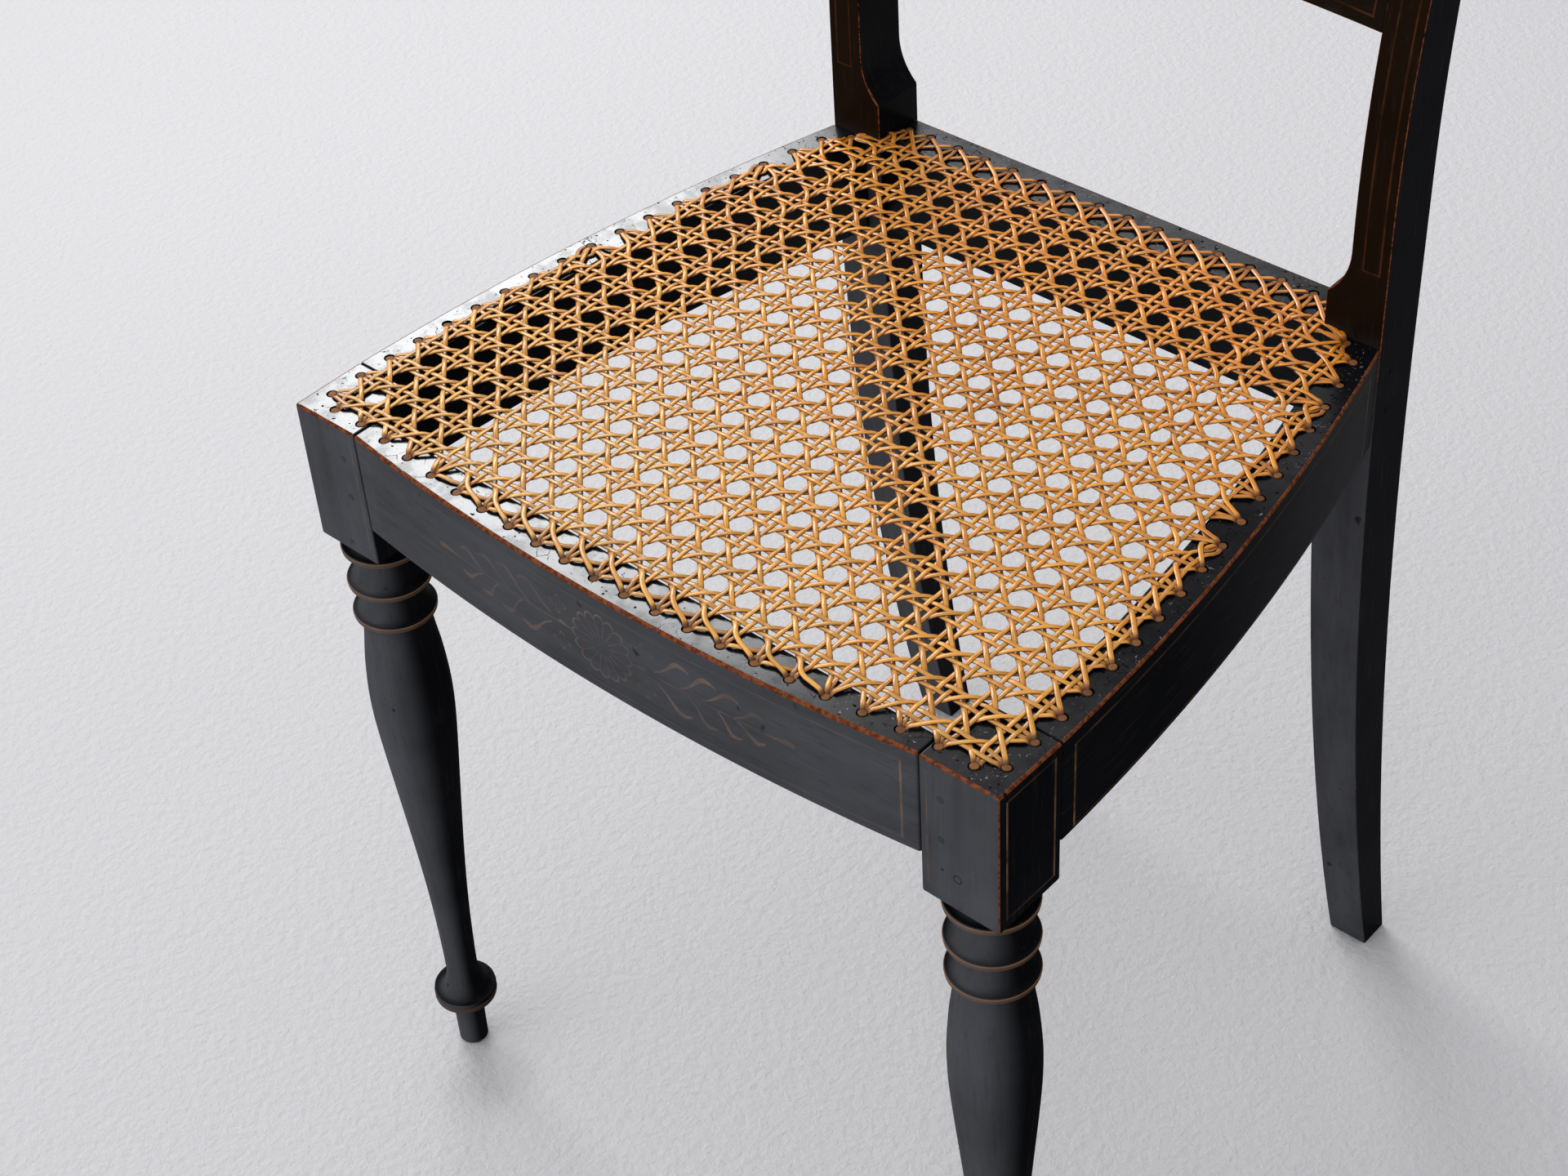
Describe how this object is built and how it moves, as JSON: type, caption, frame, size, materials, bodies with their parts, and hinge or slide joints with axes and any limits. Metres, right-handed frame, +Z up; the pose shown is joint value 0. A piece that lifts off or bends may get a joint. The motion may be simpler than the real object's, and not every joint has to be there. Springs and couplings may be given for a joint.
{
  "type": "side chair",
  "caption": "Painted wooden side chair with a hand-caned seat, turned front legs, swept-back rear legs and a raked open back.",
  "frame": {"origin": "on the floor, at the middle of the chair's footprint box", "axes": "+Z up, the sitter faces -Y, +X to the left hand of a sitter looking out"},
  "size_m": [0.4456, 0.4524, 0.8584],
  "materials": {
    "black_paint": "aged black paint over reddish primer, satin, with thin bronze lines and a faint stencil",
    "cane": "aged glossy rattan cane, honey to red brown",
    "cane_peg": "rough dark wood end grain",
    "painted_pin": "pin ends painted over with the frame"
  },
  "bodies": {
    "root": {"front_leg_right": "black_paint", "front_leg_left": "black_paint", "rear_post_right": "black_paint", "rear_post_left": "black_paint", "front_rail": "black_paint", "side_rail_right": "black_paint", "side_rail_left": "black_paint", "rear_rail": "black_paint", "stay_rail": "black_paint", "crest_rail": "black_paint", "cane_seat": "cane", "front_cane_pegs": "cane_peg", "rear_cane_pegs": "cane_peg", "right_cane_pegs": "cane_peg", "left_cane_pegs": "cane_peg", "front_rail_pins": "painted_pin", "side_rail_front_pins": "painted_pin", "side_rail_rear_pins": "painted_pin", "rear_rail_pins": "painted_pin", "stay_rail_pins": "painted_pin", "crest_pins": "painted_pin"}
  },
  "joints": []
}
